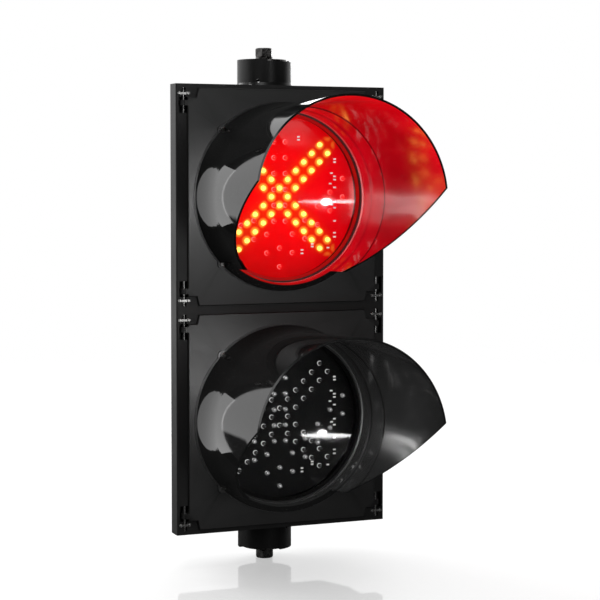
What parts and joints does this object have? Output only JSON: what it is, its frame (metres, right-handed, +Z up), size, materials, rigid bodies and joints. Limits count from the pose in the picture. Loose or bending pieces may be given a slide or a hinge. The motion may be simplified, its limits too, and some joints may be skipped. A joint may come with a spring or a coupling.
{
  "type": "two-section LED signal head",
  "caption": "Two-section LED signal head: hinged doors with clear lenses, LED cross and arrow boards, long hoods, and a bolted hub at each end for a bracket.",
  "frame": {"origin": "on the axis of the two hubs, at the end face of the bottom hub", "axes": "+Z up along the hubs' axis; the lenses face -Y; +X to the right of a viewer in front"},
  "size_m": [0.256, 0.3035, 0.6],
  "materials": {
    "housing_plastic": "fine-textured satin black polycarbonate",
    "door_plastic": "fine-textured satin black polycarbonate",
    "hub_plastic": "satin black glass-filled plastic",
    "seal_rubber": "matt black foam rubber",
    "pin_steel": "drawn stainless steel",
    "visor_plastic": "polished black polycarbonate",
    "screw_steel": "bright zinc plate",
    "bolt_steel": "bright zinc plate",
    "clip_steel": "stainless spring steel",
    "clear_lens": "clear polished polycarbonate",
    "shell_plastic": "satin black plastic",
    "board_mask": "black solder mask",
    "cross_led_upper": "lit red LED domes",
    "cross_led_lower": "clear LED domes, unlit",
    "arrow_led": "clear LED domes, unlit",
    "chip_ceramic": "chip resistors with tinned ends",
    "driver_board": "green solder mask",
    "driver_parts": "moulded electronic components",
    "terminal_plastic": "off-white moulded plastic",
    "terminal_brass": "plated brass screws"
  },
  "bodies": {
    "housing": {"hub_top": "hub_plastic", "hub_bottom": "hub_plastic", "hub_screws": "screw_steel", "hub_washers": "bolt_steel", "hub_spring_washers": "bolt_steel", "hub_bolts": "bolt_steel", "hub_nuts": "bolt_steel", "section_gasket": "seal_rubber", "section_bolts": "screw_steel", "section_nuts": "screw_steel", "terminal_block": "terminal_plastic", "terminal_screws": "terminal_brass", "housing_lower": "housing_plastic", "door_gasket_lower": "seal_rubber", "hinge_pins_lower": "pin_steel", "pin_clips_lower": "pin_steel", "pin_clip_screws_lower": "pin_steel", "housing_upper": "housing_plastic", "door_gasket_upper": "seal_rubber", "hinge_pins_upper": "pin_steel", "pin_clips_upper": "pin_steel", "pin_clip_screws_upper": "pin_steel"},
    "door_lower": {"door_lower": "door_plastic", "visor_lower": "visor_plastic", "visor_screws_lower": "screw_steel", "lens_gasket_lower": "seal_rubber", "lens_lower": "clear_lens", "module_shell_lower": "shell_plastic", "led_board_lower": "board_mask", "cross_leds_lower": "cross_led_lower", "arrow_leds_lower": "arrow_led", "resistors_lower": "chip_ceramic", "driver_board_lower": "driver_board", "driver_parts_lower": "driver_parts", "driver_screws_lower": "screw_steel", "module_clips_lower": "clip_steel", "clip_screws_lower": "screw_steel"},
    "latch_pin_high_lower": {"latch_pin_high_lower": "pin_steel"},
    "latch_pin_low_lower": {"latch_pin_low_lower": "pin_steel"},
    "door_upper": {"door_upper": "door_plastic", "visor_upper": "visor_plastic", "visor_screws_upper": "screw_steel", "lens_gasket_upper": "seal_rubber", "lens_upper": "clear_lens", "module_shell_upper": "shell_plastic", "led_board_upper": "board_mask", "cross_leds_upper": "cross_led_upper", "arrow_leds_upper": "arrow_led", "resistors_upper": "chip_ceramic", "driver_board_upper": "driver_board", "driver_parts_upper": "driver_parts", "driver_screws_upper": "screw_steel", "module_clips_upper": "clip_steel", "clip_screws_upper": "screw_steel"},
    "latch_pin_high_upper": {"latch_pin_high_upper": "pin_steel"},
    "latch_pin_low_upper": {"latch_pin_low_upper": "pin_steel"}
  },
  "joints": [
    {"name": "door_hinge_lower", "type": "hinge", "parent": "housing", "child": "door_lower", "pos_m": [-0.1185, -0.0555, 0.159], "axis": [0, 0, -1], "range_deg": [0, 95]},
    {"name": "pin_slide_high_lower", "type": "slide", "parent": "housing", "child": "latch_pin_high_lower", "axis": [0, 0, -1], "range_m": [0, 0.024]},
    {"name": "pin_slide_low_lower", "type": "slide", "parent": "housing", "child": "latch_pin_low_lower", "axis": [0, 0, 1], "range_m": [0, 0.024]},
    {"name": "door_hinge_upper", "type": "hinge", "parent": "housing", "child": "door_upper", "pos_m": [-0.1185, -0.0555, 0.413], "axis": [0, 0, -1], "range_deg": [0, 95]},
    {"name": "pin_slide_high_upper", "type": "slide", "parent": "housing", "child": "latch_pin_high_upper", "axis": [0, 0, -1], "range_m": [0, 0.024]},
    {"name": "pin_slide_low_upper", "type": "slide", "parent": "housing", "child": "latch_pin_low_upper", "axis": [0, 0, 1], "range_m": [0, 0.024]}
  ]
}
